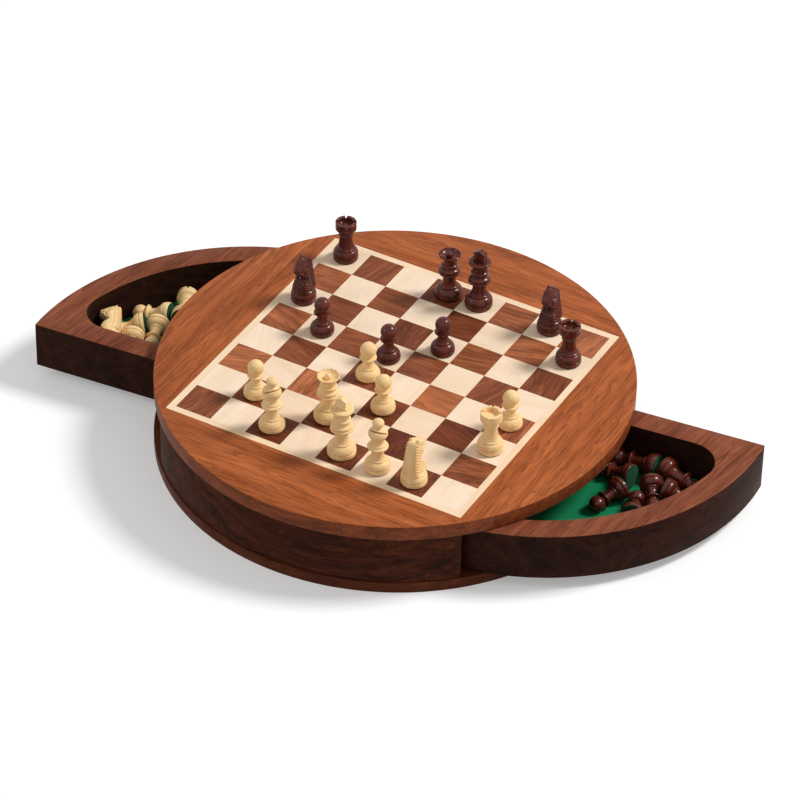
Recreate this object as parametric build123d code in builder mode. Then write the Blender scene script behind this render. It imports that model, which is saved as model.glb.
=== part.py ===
from build123d import *
import os
from math import acos, asin, atan2, cos, degrees, pi, radians, sin, sqrt, tan

os.makedirs("parts", exist_ok=True)

# A round wooden magnetic chess set. A board lies in the lid of a drum-shaped box, and two
# quarter-round trays swing out of the drum on upright pins, each on its own side.
# Millimetres, +Z up. The origin is the centre of the box's underside, +X runs along the
# ranks from file a to file h, and +Y from white's side to black's.

# Playing surface
field = 25.0  # side of one square
fields = 8  # squares along each side of the board
border_width = 4.6
surround_at_corners = 4.09  # of the lid, outside the corners of the border
veneer = 0.6  # thickness of the squares, the border and the surround
veneer_joint = 0.02  # left between neighbouring squares of one colour
steel_thickness = 0.5  # sheet under the squares, which the magnets pull on
steel_margin = 1.5  # the sheet stops this far inside the border's outer edge
steel_clearance = 0.1

# Round box
top_thickness = 10.5
base_lip = 0.6  # the bottom disc stands this far outside the lid
bottom_thickness = 7.5
middle_height = 33.5  # between the two discs
wall_setback = 0.2  # the drum's curved wall stands this far inside the top disc's rim

# Swinging trays
tray_setback = 0.4  # the closed tray's curved face stands this far inside the rim
bay_gap = 0.7  # between a tray's flat sides and the fixed blocks
tray_lift = 0.3  # running gap under a tray
tray_headroom = 0.5  # running gap over a tray
tray_wall = 16.0
tray_floor = 4.0
cavity_corner = 19.0
apex_round = 12.0  # lets the inner corner swing past the fixed block
lining = 0.8  # green felt on the tray's floor
lining_gap = 0.2

# Pivots
pivot_from_rim = 14.5  # pin's axis to the tray's curved face
pivot_from_side = 16.4  # pin's axis to the tray's flat side, and the corner's round
pin_radius = 3.0
pin_running_gap = 0.05
pin_seat_gap = 0.01
pin_in_bottom = 4.0
pin_in_top = 6.0
open_right = 38.6  # degrees that each tray stands open
open_left = 39.8

# Chess pieces, drawn for the squares of a board of this field and scaled with it
drawn_field = 25.0
flats = 8  # sides of a turned form
base_felt = 0.8
felt_inset = 0.3  # the felt stops this far inside the foot
plinth_height = 3.0
bell_height = 0.75  # of the foot's height, where the bell turns in
bell_width = 0.86  # of the foot's radius, there
magnet_radius = 3.0
magnet_height = 3.0
magnet_side_count = 4
magnet_gap = 0.1
rest_gap = 0.15  # between a stored piece and the lining

# Derived places
half_board = field * fields / 2
border_half = half_board + border_width
top_radius = border_half * sqrt(2) + surround_at_corners
bottom_radius = top_radius + base_lip
box_height = bottom_thickness + middle_height + top_thickness
top_underside = bottom_thickness + middle_height
core_top = box_height - veneer
steel_half = border_half - steel_margin
tray_radius = top_radius - tray_setback
cavity_radius = tray_radius - tray_wall
pivot_radius = tray_radius - pivot_from_rim
pivot_angle = -45 + degrees(asin((bay_gap + pivot_from_side) / pivot_radius))
pivot_x = pivot_radius * cos(radians(pivot_angle))
pivot_y = pivot_radius * sin(radians(pivot_angle))
tray_bottom = bottom_thickness + tray_lift
tray_top = top_underside - tray_headroom
lining_bottom = tray_bottom + tray_floor
lining_top = lining_bottom + lining
piece_level = box_height  # underside of a piece on the board
piece_scale = field / drawn_field
cavity_apex = (bay_gap + tray_wall) * sqrt(2)  # where the hollow's flat walls would meet
cavity_depth = cavity_radius - cavity_apex  # from there to its curved wall


def write(builder, name):
    builder.part.label = name
    export_step(builder.part, f"parts/{name}.step")


# Lid

# Core of the lid, with the steel sheet's seat on top and the pins' seats underneath
with BuildPart() as top_disc:
    with BuildSketch(Plane.XY.offset(top_underside)):
        Circle(top_radius)
    extrude(amount=core_top - top_underside)
    with BuildSketch(Plane.XY.offset(core_top)):
        seat_side = 2 * (steel_half + steel_clearance)
        Rectangle(seat_side, seat_side)
    extrude(amount=-steel_thickness, mode=Mode.SUBTRACT)
    with BuildSketch(Plane.XY.offset(top_underside)):
        with Locations((pivot_x, pivot_y), (-pivot_x, -pivot_y)):
            Circle(pin_radius + pin_seat_gap)
    extrude(amount=pin_in_top, mode=Mode.SUBTRACT)
write(top_disc, "top_disc")

with BuildPart() as steel_sheet:
    with BuildSketch(Plane.XY.offset(core_top - steel_thickness)):
        Rectangle(2 * steel_half, 2 * steel_half)
    extrude(amount=steel_thickness)
write(steel_sheet, "steel_sheet")

# Four circle segments that meet on the board's diagonals, at the corners of the border
with BuildPart() as surround_segments:
    with BuildSketch(Plane.XY.offset(core_top)):
        Circle(top_radius)
        Rectangle(2 * border_half, 2 * border_half, mode=Mode.SUBTRACT)
        with PolarLocations(top_radius, 4, start_angle=45):
            Rectangle(top_radius, veneer_joint, mode=Mode.SUBTRACT)
    extrude(amount=veneer)
write(surround_segments, "surround_segments")

# Pale strips round the squares, mitred at the corners
with BuildPart() as border_strips:
    with BuildSketch(Plane.XY.offset(core_top)):
        Rectangle(2 * border_half, 2 * border_half)
        Rectangle(2 * half_board, 2 * half_board, mode=Mode.SUBTRACT)
        with PolarLocations(top_radius, 4, start_angle=45):
            Rectangle(top_radius, veneer_joint, mode=Mode.SUBTRACT)
    extrude(amount=veneer)
write(border_strips, "border_strips")


def field_centre(file, rank):
    """Centre of a square, counted from 0 at the corner on white's left."""
    return (field * (file + 0.5) - half_board, field * (rank + 0.5) - half_board)


for name, colour in (("dark_squares", 0), ("light_squares", 1)):
    with BuildPart() as squares:
        with BuildSketch(Plane.XY.offset(core_top)):
            with Locations(
                *[
                    field_centre(file, rank)
                    for file in range(fields)
                    for rank in range(fields)
                    if (file + rank) % 2 == colour
                ]
            ):
                Rectangle(field - veneer_joint, field - veneer_joint)
        extrude(amount=veneer)
    write(squares, name)

# Drum

with BuildPart() as bottom_disc:
    with BuildSketch():
        Circle(bottom_radius)
    extrude(amount=bottom_thickness)
    with BuildSketch(Plane.XY.offset(bottom_thickness)):
        with Locations((pivot_x, pivot_y), (-pivot_x, -pivot_y)):
            Circle(pin_radius + pin_seat_gap)
    extrude(amount=-pin_in_bottom, mode=Mode.SUBTRACT)
write(bottom_disc, "bottom_disc")

# Two fixed quarter blocks part the trays' bays and carry the lid
for name, turn in (("front_block", 0), ("rear_block", 180)):
    with BuildPart() as block:
        with BuildSketch(Plane.XY.offset(bottom_thickness)):
            Circle(top_radius - wall_setback)
            with BuildLine():
                Polyline((0, 0), (2 * top_radius, -2 * top_radius), (-2 * top_radius, -2 * top_radius), close=True)
            make_face(mode=Mode.INTERSECT)
        extrude(amount=middle_height)
    with BuildPart() as placed:
        with Locations(Location((0, 0, 0), (0, 0, turn))):
            add(block)
    write(placed, name)

with BuildPart() as pivot_pins:
    with BuildSketch(Plane.XY.offset(bottom_thickness - pin_in_bottom)):
        with Locations((pivot_x, pivot_y), (-pivot_x, -pivot_y)):
            Circle(pin_radius)
    extrude(amount=pin_in_bottom + middle_height + pin_in_top)
write(pivot_pins, "pivot_pins")

# Trays, drawn closed in the right-hand bay


def on_rim(radius, angle):
    return (radius * cos(radians(angle)), radius * sin(radians(angle)))


def tray_outline():
    """A quarter circle whose corner at the pin is round about the pin."""
    apex = (bay_gap * sqrt(2), 0)
    side_turn = degrees(asin(bay_gap / tray_radius))
    tip = on_rim(tray_radius, 45 - side_turn)
    reach = (tray_radius**2 + pivot_radius**2 - pivot_from_side**2) / (2 * tray_radius * pivot_radius)
    round_end = on_rim(tray_radius, pivot_angle - degrees(acos(reach)))
    side_foot = (pivot_x - pivot_from_side / sqrt(2), pivot_y - pivot_from_side / sqrt(2))
    middle = atan2(
        (side_foot[1] + round_end[1]) / 2 - pivot_y,
        (side_foot[0] + round_end[0]) / 2 - pivot_x,
    )
    round_middle = (pivot_x + pivot_from_side * cos(middle), pivot_y + pivot_from_side * sin(middle))
    with BuildSketch() as outline:
        with BuildLine():
            Line(apex, side_foot)
            ThreePointArc(side_foot, round_middle, round_end)
            ThreePointArc(round_end, (tray_radius, 0), tip)
            Line(tip, apex)
        make_face()
        fillet(outline.vertices().sort_by(Axis.X)[0], apex_round)
    return outline.sketch


def cavity_outline(inset):
    """The tray's hollow, drawn in from its wall by inset."""
    arc_radius = cavity_radius - inset
    side = bay_gap + tray_wall + inset
    start = (cavity_apex + inset * sqrt(2), 0)
    side_turn = degrees(asin(side / arc_radius))
    low, high = on_rim(arc_radius, side_turn - 45), on_rim(arc_radius, 45 - side_turn)
    with BuildSketch() as outline:
        with BuildLine():
            Line(start, low)
            ThreePointArc(low, (arc_radius, 0), high)
            Line(high, start)
        make_face()
        fillet(outline.vertices(), cavity_corner - inset)
    return outline.sketch


with BuildPart() as tray:
    with BuildSketch(Plane.XY.offset(tray_bottom)):
        add(tray_outline())
    extrude(amount=tray_top - tray_bottom)
    with BuildSketch(Plane.XY.offset(tray_top)):
        add(cavity_outline(0))
    extrude(amount=lining_bottom - tray_top, mode=Mode.SUBTRACT)
    with BuildSketch(Plane.XY.offset(tray_bottom)):
        with Locations((pivot_x, pivot_y)):
            Circle(pin_radius + pin_running_gap)
    extrude(amount=tray_top - tray_bottom, mode=Mode.SUBTRACT)

with BuildPart() as tray_lining:
    with BuildSketch(Plane.XY.offset(lining_bottom)):
        add(cavity_outline(lining_gap))
    extrude(amount=lining)


def swing(turn, open_angle):
    """Moves what is drawn in the closed right-hand tray to its open place."""
    about_pin = Location((pivot_x, pivot_y, 0), (0, 0, -open_angle)) * Location((-pivot_x, -pivot_y, 0))
    return Location((0, 0, 0), (0, 0, turn)) * about_pin


swings = {"right": swing(0, open_right), "left": swing(180, open_left)}
for side, place in swings.items():
    for kind, drawn in (("tray", tray), ("lining", tray_lining)):
        with BuildPart() as placed:
            with Locations(place):
                add(drawn)
        write(placed, f"{side}_{kind}")

# Turned chess pieces. Each profile is (height above the board, radius), from the felt up.

flat_trim = 2 / (1 + 1 / cos(pi / flats))  # flats and corners straddle the turned radius


def foot(radius, waist, waist_height):
    """The moulded foot that all the pieces share: a plinth and a bell."""
    return [
        (base_felt, radius - felt_inset),
        (plinth_height, radius),
        (bell_height * waist_height, bell_width * radius),
        (waist_height, waist),
    ]


pawn_foot, officer_foot, royal_foot = 7.85, 8.3, 9.1

pawn_profile = foot(pawn_foot, 4.5, 8.4) + [
    (12.0, 3.2),
    (14.8, 3.2),
    (15.8, 5.4),
    (17.2, 3.4),
    (19.0, 4.6),
    (21.4, 5.2),
    (24.4, 4.3),
    (26.5, 0.0),
]

rook_profile = foot(officer_foot, 5.9, 9.0) + [
    (11.0, 5.3),
    (18.6, 4.2),
    (20.6, 4.6),
    (24.0, 6.8),
    (29.2, 6.9),
]

bishop_profile = foot(officer_foot, 5.0, 8.6) + [
    (10.4, 4.2),
    (16.5, 3.8),
    (17.8, 6.5),
    (19.0, 6.3),
    (22.2, 3.7),
    (24.6, 4.8),
    (28.0, 6.0),
    (32.5, 2.4),
    (33.9, 3.6),
    (36.4, 3.4),
    (38.1, 0.0),
]

queen_profile = foot(royal_foot, 5.4, 9.2) + [
    (11.2, 4.4),
    (17.5, 4.0),
    (19.0, 7.1),
    (20.6, 6.8),
    (22.8, 5.8),
    (25.8, 4.8),
    (28.8, 4.9),
    (33.2, 7.1),
]

king_profile = foot(royal_foot, 5.6, 9.6) + [
    (11.8, 4.5),
    (18.2, 4.1),
    (19.6, 7.2),
    (21.2, 6.9),
    (23.4, 5.9),
    (26.8, 4.8),
    (30.4, 4.9),
    (34.2, 7.3),
    (35.2, 7.2),
    (35.6, 4.9),
]

knight_stand = foot(officer_foot, 6.5, 8.0) + [(9.4, 6.3)]

# Details of the officers
rook_well_radius = 4.7
rook_well_depth = 3.2
rook_slot = 1.3
rook_slot_depth = 1.8
coronet_well_radius = 5.2
coronet_well_depth = 2.2
coronet_ball = 1.9
coronet_slots = 4
coronet_notch = 1.1
mitre_cut = 0.9
mitre_cut_height = 29.0
finial_top = 43.6
finial_width = 8.2
finial_depth = 4.4
finial_slope = 28.0  # of its gabled top
finial_notch = 1.5
finial_notch_heights = (37.4, 39.8)

# Horse's head, clear of the stand: from the side, looking along +X, and half of it from the
# front, as (distance from the middle, height)
knight_side = [
    (-6.0, 8.6),  # back of the neck, at the foot
    (-6.4, 13.0),
    (-5.6, 21.0),
    (-4.0, 27.0),
    (-1.4, 33.8),  # ears
    (0.6, 32.2),
    (8.8, 28.0),  # end of the nose
    (8.6, 24.4),
    (5.0, 21.4),  # jaw
    (1.8, 19.4),  # throat
    (5.6, 15.0),  # chest
    (5.9, 8.6),
]
knight_front = [
    (6.0, 8.6),
    (5.6, 12.0),
    (3.9, 17.0),
    (3.7, 26.0),
    (2.9, 34.0),
    (0.5, 34.0),
]
ear_notch = (0, 32.0)
knight_reach = 9.0  # past the head on every side


def silhouette_plane(turn):
    return Plane(origin=(0, 0, 0), x_dir=(cos(turn), sin(turn), 0), z_dir=(sin(turn), -cos(turn), 0))


def turned(profile):
    """A turned form on flats: its silhouette is cut right through at equal turns, and the
    form is what all the cuts leave. A profile that ends on the axis closes in a point."""
    right = [(radius * flat_trim, height) for height, radius in profile]
    left = [(-x, height) for x, height in reversed(right) if x]
    reach = 2 * max(x for x, height in right)
    with BuildPart() as form:
        for cut in range(flats // 2):
            with BuildSketch(silhouette_plane(2 * pi * cut / flats)):
                with BuildLine():
                    Polyline(*right, *left, close=True)
                make_face()
            extrude(amount=reach, both=True, mode=Mode.INTERSECT if cut else Mode.ADD)
        # Pocket for the magnet
        with BuildSketch(Plane.XY.offset(base_felt)):
            RegularPolygon(magnet_radius + magnet_gap, magnet_side_count)
        extrude(amount=magnet_height + magnet_gap, mode=Mode.SUBTRACT)
    return form


def make_rook():
    top = rook_profile[-1][0]
    with BuildPart() as rook:
        add(turned(rook_profile))
        with BuildSketch(Plane.XY.offset(top)):
            RegularPolygon(rook_well_radius, flats)
        extrude(amount=-rook_well_depth, mode=Mode.SUBTRACT)
        with BuildSketch(Plane.XY.offset(top)):
            with PolarLocations(0, 2, angular_range=180):
                Rectangle(4 * rook_well_radius, rook_slot)
        extrude(amount=-rook_slot_depth, mode=Mode.SUBTRACT)
    return rook


def make_bishop():
    widest = max(radius for height, radius in bishop_profile)
    with BuildPart() as bishop:
        add(turned(bishop_profile))
        slot_plane = Plane(origin=(0, 0, mitre_cut_height), x_dir=(1, 0, 0), z_dir=(0, 1, 2))
        with BuildSketch(slot_plane):
            with Locations((0, -widest)):
                Rectangle(3 * widest, 2 * widest)
        extrude(amount=mitre_cut, mode=Mode.SUBTRACT)
    return bishop


def make_queen():
    top = queen_profile[-1][0]
    with BuildPart() as queen:
        add(turned(queen_profile))
        with BuildSketch(Plane.XY.offset(top)):
            RegularPolygon(coronet_well_radius, flats)
        extrude(amount=-coronet_well_depth, mode=Mode.SUBTRACT)
        with BuildSketch(Plane.XY.offset(top)):
            with PolarLocations(0, coronet_slots, start_angle=180 / flats, angular_range=180):
                Rectangle(4 * coronet_well_radius, coronet_notch)
        extrude(amount=-coronet_notch, mode=Mode.SUBTRACT)
        with BuildSketch(Plane.XY.offset(top - coronet_well_depth)):
            RegularPolygon(coronet_ball, magnet_side_count)
        extrude(amount=coronet_well_depth)
    return queen


def make_king():
    seat = king_profile[-1][0]
    side_edge = finial_width / 2
    eaves = finial_top - side_edge * tan(radians(finial_slope))
    with BuildPart() as king:
        add(turned(king_profile))
        # Gabled block, notched at both sides into a blunt cross
        with BuildSketch(Plane.XZ):
            with BuildLine():
                Polyline(
                    (-side_edge, seat),
                    (side_edge, seat),
                    (side_edge, eaves),
                    (0, finial_top),
                    (-side_edge, eaves),
                    close=True,
                )
            make_face()
            for side in (-1, 1):
                for height in finial_notch_heights:
                    with BuildLine():
                        Polyline(
                            (side * (side_edge - finial_notch), height),
                            (side * (side_edge + finial_notch), height - finial_notch),
                            (side * (side_edge + finial_notch), height + finial_notch),
                            close=True,
                        )
                    make_face(mode=Mode.SUBTRACT)
        extrude(amount=finial_depth / 2, both=True)
    return king


def make_pawn():
    return turned(pawn_profile)


def make_knight():
    """A horse's head looking along +X: its side view, cut across by its front view."""
    left = [(-width, height) for width, height in knight_front]
    with BuildPart() as knight:
        with BuildSketch(Plane.XZ):
            with BuildLine():
                Polyline(*knight_side, close=True)
            make_face()
        extrude(amount=knight_reach, both=True)
        with BuildSketch(Plane.YZ):
            with BuildLine():
                Polyline(*left, ear_notch, *reversed(knight_front), close=True)
            make_face()
        extrude(amount=knight_reach, both=True, mode=Mode.INTERSECT)
        add(turned(knight_stand))
    return knight


def at_board_scale(drawn):
    with BuildPart() as scaled:
        add(drawn)
        scale(by=piece_scale)
    return scaled


forms = {
    "pawn": at_board_scale(make_pawn()),
    "rook": at_board_scale(make_rook()),
    "knight": at_board_scale(make_knight()),
    "bishop": at_board_scale(make_bishop()),
    "queen": at_board_scale(make_queen()),
    "king": at_board_scale(make_king()),
}
feet = {
    "pawn": pawn_foot,
    "rook": officer_foot,
    "knight": officer_foot,
    "bishop": officer_foot,
    "queen": royal_foot,
    "king": royal_foot,
}


def make_base(radius):
    """The felt under a piece, with the magnet standing on it."""
    with BuildPart() as base:
        with BuildSketch():
            felt_half = radius * flat_trim - felt_inset
            RegularPolygon(felt_half, flats, major_radius=False, rotation=180 / flats)
        extrude(amount=base_felt)
        with BuildSketch(Plane.XY.offset(base_felt + magnet_gap / 2)):
            RegularPolygon(magnet_radius, magnet_side_count)
        extrude(amount=magnet_height)
    return base


bases = {kind: at_board_scale(make_base(radius)) for kind, radius in feet.items()}

# Pieces standing on the board: kind, file and rank of the square, how far the piece stands
# off the square's centre, and its heading
standing = {
    "white_king": ("king", 4, 0, -0.7, 0.0, 0),
    "white_queen": ("queen", 3, 1, -0.5, 0.9, 0),
    "white_bishop_c1": ("bishop", 2, 0, -0.5, 0.0, 60),
    "white_bishop_f1": ("bishop", 5, 0, 0.7, -1.8, 8),
    "white_knight": ("knight", 6, 0, 1.0, -1.4, 90),
    "white_rook": ("rook", 7, 2, 0.9, -0.2, 20),
    "white_pawn_b2": ("pawn", 1, 1, -0.8, -2.1, 0),
    "white_pawn_e3": ("pawn", 4, 2, -0.4, 0.6, 0),
    "white_pawn_d4": ("pawn", 3, 3, 0.2, -0.7, 0),
    "white_pawn_h4": ("pawn", 7, 3, 0.0, 2.1, 0),
    "black_rook_a8": ("rook", 0, 7, -0.2, 1.2, 30),
    "black_knight_a6": ("knight", 0, 5, -0.9, -1.4, -90),
    "black_pawn_b5": ("pawn", 1, 4, 1.9, -0.2, 0),
    "black_pawn_d5": ("pawn", 3, 4, 1.8, -2.8, 0),
    "black_pawn_e6": ("pawn", 4, 5, 2.7, -3.8, 0),
    "black_queen": ("queen", 3, 7, 2.2, 0.1, 0),
    "black_king": ("king", 4, 7, -1.3, 0.9, 0),
    "black_knight_g8": ("knight", 6, 7, 0.3, 0.9, -90),
    "black_rook_h7": ("rook", 7, 6, 1.2, 2.2, 15),
}
for name, (kind, file, rank, off_x, off_y, heading) in standing.items():
    x, y = field_centre(file, rank)
    offset_x, offset_y = off_x * piece_scale, off_y * piece_scale
    spot = Location((x + offset_x, y + offset_y, piece_level), (0, 0, heading))
    with BuildPart() as piece:
        with Locations(spot):
            add(forms[kind])
    write(piece, name)
    with BuildPart() as base:
        with Locations(spot):
            add(bases[kind])
    write(base, f"{name}_base")

# Pieces lying in the trays. A profile here says how far a piece of that kind reaches from
# its axis at each height, and a roll which side of it lies down.

profiles = {
    "pawn": pawn_profile,
    "rook": rook_profile,
    "bishop": bishop_profile,
    "knight": knight_stand + [(height, width) for width, height in knight_front],
}
roll = {"pawn": 0, "rook": 0, "bishop": 0, "knight": 90}


def lying(side, kind, x, y, heading, lift=0.0, dip=None):
    """Where a piece lies in a tray, its head towards heading. x and y place the middle of its
    foot in the closed right-hand bay, as shares of the hollow's depth, x from the corner of
    its flat walls. A piece on the lining lies on its foot's rim and on whatever part of its
    head touches first. One that lies on others has its own lift and dip."""
    levels = profiles[kind]
    rim_height, rim = levels[1]
    slopes = [atan2(rim - radius, height - rim_height) for height, radius in levels if height > 2 * rim]
    slope = min(slopes)
    axis_height = (rim * cos(slope) + rim_height * sin(slope)) * flat_trim + lift
    tilt = degrees(slope) if dip is None else dip
    foot_level = lining_top + rest_gap + axis_height * piece_scale
    level = Location((cavity_apex + x * cavity_depth, y * cavity_depth, foot_level), (0, 0, heading))
    turn = Location((0, 0, 0), (0, 90 + tilt, 0)) * Location((0, 0, 0), (0, 0, roll[kind]))
    return swings[side] * level * turn


stored = {
    "stored_dark_bishops": ("right", "bishop", [(0.5268, 0.4170, 220), (0.5353, 0.4415, 26)]),
    "stored_dark_pawns": (
        "right",
        "pawn",
        [
            (0.6161, 0.3313, 340),
            (0.7031, 0.3679, 40),
            (0.6027, 0.1589, 290),
            (0.5473, 0.2509, 214),
            (0.8580, 0.1063, 147.3),
        ],
    ),
    "stored_light_knight": ("left", "knight", [(0.6170, 0.5690, 332, 4.6, -4.5)]),
    "stored_light_rook": ("left", "rook", [(0.7339, 0.0705, 335)]),
    "stored_light_pawns": (
        "left",
        "pawn",
        [
            (0.7688, 0.2875, 74),
            (0.8089, 0.1170, 54),
            (0.7116, 0.3795, 153),
            (0.7714, 0.2071, 150),
        ],
    ),
}
stored_bases = {"stored_dark_bases": "right", "stored_light_bases": "left"}
for name, (side, kind, places) in stored.items():
    with BuildPart() as pieces:
        with Locations(*[lying(side, kind, *place) for place in places]):
            add(forms[kind])
    write(pieces, name)
for name, tray_side in stored_bases.items():
    with BuildPart() as pieces:
        for side, kind, places in stored.values():
            if side == tray_side:
                with Locations(*[lying(side, kind, *place) for place in places]):
                    add(bases[kind])
    write(pieces, name)
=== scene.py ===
import random
from math import atan2, cos, exp, hypot, pi, radians, sin, sqrt

import bmesh
import bpy
from mathutils import Matrix, Vector
from mathutils.geometry import delaunay_2d_cdt


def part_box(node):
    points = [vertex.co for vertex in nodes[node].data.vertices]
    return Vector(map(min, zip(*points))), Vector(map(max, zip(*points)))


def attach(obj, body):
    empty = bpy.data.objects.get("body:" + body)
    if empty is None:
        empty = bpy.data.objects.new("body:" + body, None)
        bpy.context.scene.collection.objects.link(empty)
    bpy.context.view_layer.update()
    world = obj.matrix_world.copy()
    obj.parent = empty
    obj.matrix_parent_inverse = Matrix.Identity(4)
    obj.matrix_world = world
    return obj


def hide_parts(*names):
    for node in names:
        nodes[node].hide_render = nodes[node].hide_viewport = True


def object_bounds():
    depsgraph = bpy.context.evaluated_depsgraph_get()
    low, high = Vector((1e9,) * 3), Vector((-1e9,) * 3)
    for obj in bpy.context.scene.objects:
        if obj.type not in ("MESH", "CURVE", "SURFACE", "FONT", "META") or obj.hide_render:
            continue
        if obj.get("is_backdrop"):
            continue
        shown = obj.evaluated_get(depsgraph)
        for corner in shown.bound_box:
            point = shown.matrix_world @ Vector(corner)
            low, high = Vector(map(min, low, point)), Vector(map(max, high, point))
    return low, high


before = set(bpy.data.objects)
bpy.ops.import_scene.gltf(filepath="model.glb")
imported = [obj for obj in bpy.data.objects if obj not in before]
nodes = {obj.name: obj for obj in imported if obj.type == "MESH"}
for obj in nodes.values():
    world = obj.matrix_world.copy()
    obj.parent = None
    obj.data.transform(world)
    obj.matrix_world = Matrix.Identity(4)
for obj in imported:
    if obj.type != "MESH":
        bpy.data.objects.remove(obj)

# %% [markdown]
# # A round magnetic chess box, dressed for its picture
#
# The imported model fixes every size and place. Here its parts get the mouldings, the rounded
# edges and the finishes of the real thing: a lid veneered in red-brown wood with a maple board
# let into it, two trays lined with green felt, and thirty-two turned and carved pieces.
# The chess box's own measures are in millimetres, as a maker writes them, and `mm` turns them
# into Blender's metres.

mm = 0.001
cad_low, cad_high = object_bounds()
scene = bpy.context.scene


def in_scene(name, data):
    made = bpy.data.objects.new(name, data)
    scene.collection.objects.link(made)
    return made


def give(mesh, *materials):
    """These materials and no others on a mesh."""
    mesh.materials.clear()
    for material in materials:
        mesh.materials.append(material)


def turned_by(degrees, axis="Z"):
    return Matrix.Rotation(radians(degrees), 4, axis)


extent = Vector(cad_high) - Vector(cad_low)
print("the packed chess box measures", [round(v / mm, 1) for v in extent], "mm")

# %% [markdown]
# ## Camera
#
# The photograph was taken with a long lens from the front right, well above the board, with the
# camera tipped a little to one side. The camera's own axes are built from those three angles,
# which is easier to read than a rotation in Blender's Euler order.

# %% Camera
azimuth, elevation, tilt = radians(28.81), radians(38.197), radians(1.224)
camera_stand = Vector((0.9897, -1.7927, 1.6403))
forward = Vector((-sin(azimuth) * cos(elevation), cos(azimuth) * cos(elevation), -sin(elevation)))
level_right = forward.cross(Vector((0, 0, 1))).normalized()
level_up = level_right.cross(forward)
right = cos(tilt) * level_right + sin(tilt) * level_up
up = right.cross(forward)

camera = in_scene("camera", bpy.data.cameras.new("camera"))
axes = Matrix((right, up, -forward)).transposed().to_4x4()
camera.matrix_world = Matrix.Translation(camera_stand) @ axes
camera.data.lens = 185.45
camera.data.sensor_width = 36
camera.data.clip_end = 20
scene.camera = camera
print("camera stands", round(camera.location.length, 2), "m from the box's centre")

# %% [markdown]
# ## Floor and light
#
# The box stands on a plain pale floor in a bright studio. One soft lamp high at the right and a
# little behind draws the pieces' shadows to the left. A weak one low at the left adds the second
# small highlight on the lacquered pieces, and the world fills the rest. The world shows white to
# the camera and to gloss, and lights the wood at a lower, warm level, so that a colour renders
# about as it is written.

# %% Shader helpers


def colour(red, green, blue):
    """A colour as a picture shows it, 0 to 255, turned into the linear values of a shader."""
    def linear(v):
        v = v / 255
        return v / 12.92 if v <= 0.04045 else ((v + 0.055) / 1.055) ** 2.4

    return (linear(red), linear(green), linear(blue), 1)


class Tree:
    """A short way to write a node tree: each call adds a node and wires its inputs.

    A name with a capital is a socket of the node, and any other name is a setting of it.
    """

    def __init__(self, tree):
        self.tree = tree

    def add(self, kind, *inputs, **named):
        node = self.tree.nodes.new(kind)
        for key, value in named.items():
            if key.islower():
                setattr(node, key, value)
        for index, value in enumerate(inputs):
            self.put(node.inputs[index], value)
        for key, value in named.items():
            if not key.islower():
                self.put(node.inputs[key.replace("_", " ")], value)
        return node

    def put(self, socket, value):
        if value is None:
            return
        if isinstance(value, bpy.types.Node):
            value = next(s for s in value.outputs if s.enabled)
        if isinstance(value, bpy.types.NodeSocket):
            self.tree.links.new(value, socket)
        else:
            socket.default_value = value

    def math(self, operation, *inputs):
        return self.add("ShaderNodeMath", *inputs, operation=operation)

    def vector(self, operation, *inputs, **named):
        return self.add("ShaderNodeVectorMath", *inputs, operation=operation, **named)

    def noise(self, place, scale, detail, **more):
        node = self.add("ShaderNodeTexNoise", Vector=place, Scale=scale, Detail=detail, **more)
        return node.outputs["Fac"]

    def ramp(self, value, low, high, first=0.0, last=1.0):
        return self.add("ShaderNodeMapRange", value, low, high, first, last)


def new_material(name):
    material = bpy.data.materials.new(name)
    material.use_nodes = True
    material.node_tree.nodes.clear()
    return material, Tree(material.node_tree)


def finish_material(tree, shader):
    tree.add("ShaderNodeOutputMaterial", shader)


def seen_directly(tree):
    """1 for rays of the camera, of gloss and of glass, and 0 for the light that falls on things."""
    path = tree.add("ShaderNodeLightPath")
    seen = tree.math("MAXIMUM", path.outputs["Is Camera Ray"], path.outputs["Is Glossy Ray"])
    return tree.math("MAXIMUM", seen, path.outputs["Is Transmission Ray"])


# %% Floor, lamps and world
WHITE = (1, 1, 1, 1)
FLOOR_HALF, LAMP_DISTANCE = 9, 3.6  # metres
FLOOR_GLOW = 0.3  # light that the floor adds of its own, seen by the camera and by gloss only
FILL = 0.4  # strength of the world's light on the wood

floor_mesh = bpy.data.meshes.new("floor")
corners = [(x * FLOOR_HALF, y * FLOOR_HALF, 0) for x, y in ((-1, -1), (1, -1), (1, 1), (-1, 1))]
floor_mesh.from_pydata(corners, [], [(0, 1, 2, 3)])
floor = in_scene("floor", floor_mesh)
floor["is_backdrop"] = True

pale_floor, t = new_material("pale_floor")
matt = t.add("ShaderNodeBsdfDiffuse", colour(226, 231, 237))
lift = t.add("ShaderNodeEmission", WHITE, t.math("MULTIPLY", seen_directly(t), FLOOR_GLOW))
finish_material(t, t.add("ShaderNodeAddShader", matt, lift))
give(floor_mesh, pale_floor)

for name, across, power, toward in (
    ("soft_lamp", 1.0, 108, (0.52, 0.46, 0.74)),
    ("low_lamp", 0.45, 12, (-0.62, -0.5, 0.6)),
):
    lamp_data = bpy.data.lights.new(name, "AREA")
    lamp_data.shape = "DISK"
    lamp_data.size = across
    lamp_data.energy = power
    lamp_data.color = (1.0, 0.95, 0.88)
    lamp = in_scene(name, lamp_data)
    lamp_from = Vector(toward).normalized()
    lamp.location = lamp_from * LAMP_DISTANCE
    lamp.rotation_euler = lamp_from.to_track_quat("Z", "Y").to_euler()

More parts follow.
